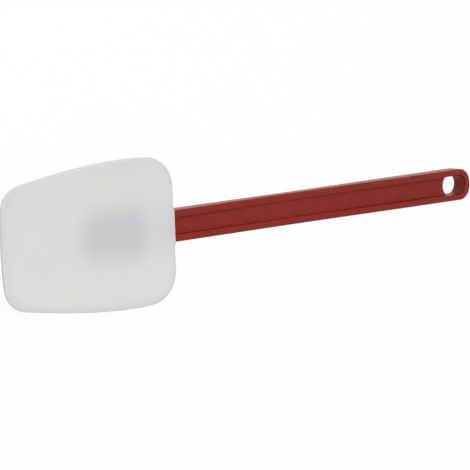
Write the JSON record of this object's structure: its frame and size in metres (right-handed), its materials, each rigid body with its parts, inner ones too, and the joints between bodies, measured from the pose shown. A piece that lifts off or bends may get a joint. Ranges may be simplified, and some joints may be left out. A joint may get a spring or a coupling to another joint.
{
  "type": "silicone spatula",
  "caption": "Scraping and stirring spatula: wide thin dished silicone blade on a flat bar handle with long recesses and a hanging slot.",
  "frame": {"origin": "middle of the bounding box in X and Y, at the height of the table the spatula lies on", "axes": "+X from the blade's tip to the hanging end, +Y across, +Z out of the dished face"},
  "size_m": [0.343, 0.0804, 0.0157],
  "materials": {
    "handle_nylon": "matt brick red glass-filled nylon, faintly mottled",
    "blade_silicone": "satin off-white silicone, soft enough for light to enter"
  },
  "bodies": {
    "root": {"handle": "handle_nylon", "blade": "blade_silicone"}
  },
  "joints": []
}
